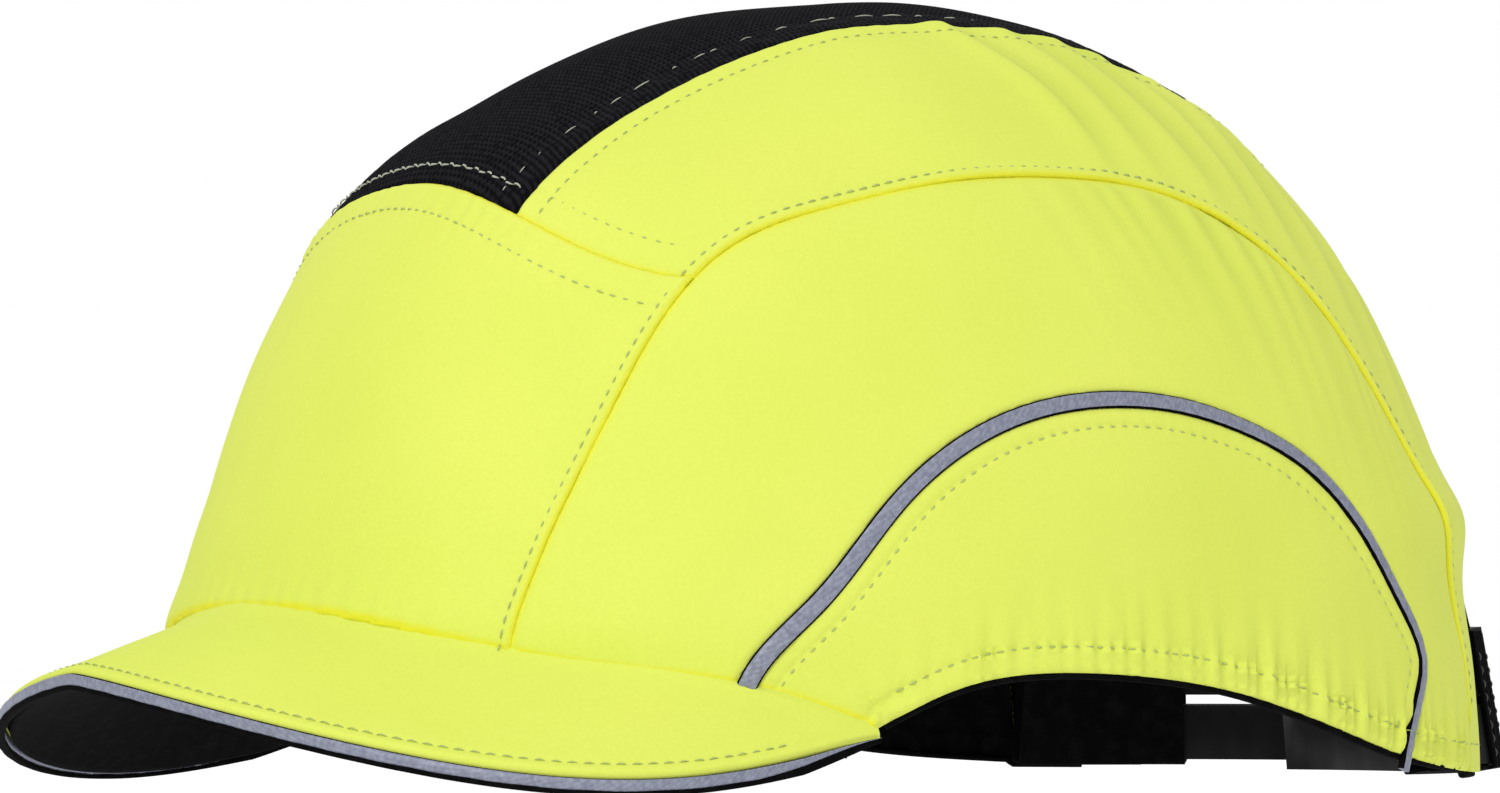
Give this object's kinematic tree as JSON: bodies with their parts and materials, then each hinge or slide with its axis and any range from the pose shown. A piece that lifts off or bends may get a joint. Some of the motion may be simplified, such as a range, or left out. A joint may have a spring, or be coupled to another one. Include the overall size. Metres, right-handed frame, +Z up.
{
  "type": "bump cap",
  "caption": "Short-peaked fluorescent yellow bump cap with a black mesh strip, arched ear panels, a moulded inner shell, foam pads and a rear ratchet size adjuster.",
  "frame": {"origin": "middle of the bounding box, on the surface that the cap rests on", "axes": "+Z up, -Y towards the peak, +X towards the wearer's left"},
  "size_m": [0.1718, 0.2604, 0.1212],
  "materials": {
    "yellow_fabric": "woven fluorescent yellow softshell, matt with a faint sheen",
    "black_mesh": "black ribbed spacer mesh",
    "silver_reflective": "silver grey glass-bead reflective tape",
    "black_fabric": "black woven polyester",
    "sweatband_fabric": "black brushed wicking knit",
    "label_fabric": "blank woven satin label",
    "foam": "closed-cell EVA foam",
    "board_plastic": "flexible polyethylene peak board",
    "shell_plastic": "injection-moulded ABS, fine matt texture",
    "adjuster_plastic": "black nylon, satin",
    "inner_plastic": "natural acetal",
    "steel": "zinc-plated steel"
  },
  "bodies": {
    "root": {"front_panel": "yellow_fabric", "mesh_strip": "black_mesh", "crown_panel_left": "yellow_fabric", "crown_panel_right": "yellow_fabric", "side_panel_left": "yellow_fabric", "side_panel_right": "yellow_fabric", "ear_panel_left": "yellow_fabric", "ear_panel_right": "yellow_fabric", "side_piping_left": "silver_reflective", "side_piping_right": "silver_reflective", "hem_binding_left": "black_fabric", "hem_binding_right": "black_fabric", "rear_arch_binding": "black_fabric", "peak_board": "board_plastic", "peak_top_cover": "yellow_fabric", "peak_under_cover": "black_fabric", "peak_piping": "silver_reflective", "peak_binding": "black_fabric", "protective_shell": "shell_plastic", "crown_pad": "foam", "front_pad": "foam", "side_pad_left": "foam", "side_pad_right": "foam", "rear_pad_left": "foam", "rear_pad_right": "foam", "sweatband": "sweatband_fabric", "care_label": "label_fabric", "strap_sleeve_left": "black_fabric", "strap_sleeve_right": "black_fabric", "ratchet_base": "adjuster_plastic", "ratchet_cover": "adjuster_plastic"},
    "knob": {"knob": "adjuster_plastic", "pinion": "inner_plastic", "knob_screw": "steel", "click_spring": "inner_plastic"},
    "strap_left": {"strap_left": "adjuster_plastic"},
    "strap_right": {"strap_right": "adjuster_plastic"}
  },
  "joints": [
    {"name": "knob_turn", "type": "hinge", "parent": "root", "child": "knob", "pos_m": [0, 0.12155, 0.0126], "axis": [0, 0.9857, 0.1685], "range_deg": [-140, 140]},
    {"name": "strap_left_slide", "type": "hinge", "parent": "root", "child": "strap_left", "pos_m": [0, 0.06655, 0.0126], "axis": [0, 0, 1], "range_deg": [-10.5, 10.5]},
    {"name": "strap_right_slide", "type": "hinge", "parent": "root", "child": "strap_right", "pos_m": [0, 0.06655, 0.0126], "axis": [0, 0, 1], "range_deg": [-10.8, 10.8]}
  ],
  "couplings": [
    {"joint": "strap_left_slide", "follows": "knob_turn", "ratio": -0.073801},
    {"joint": "strap_right_slide", "follows": "knob_turn", "ratio": 0.076336}
  ]
}
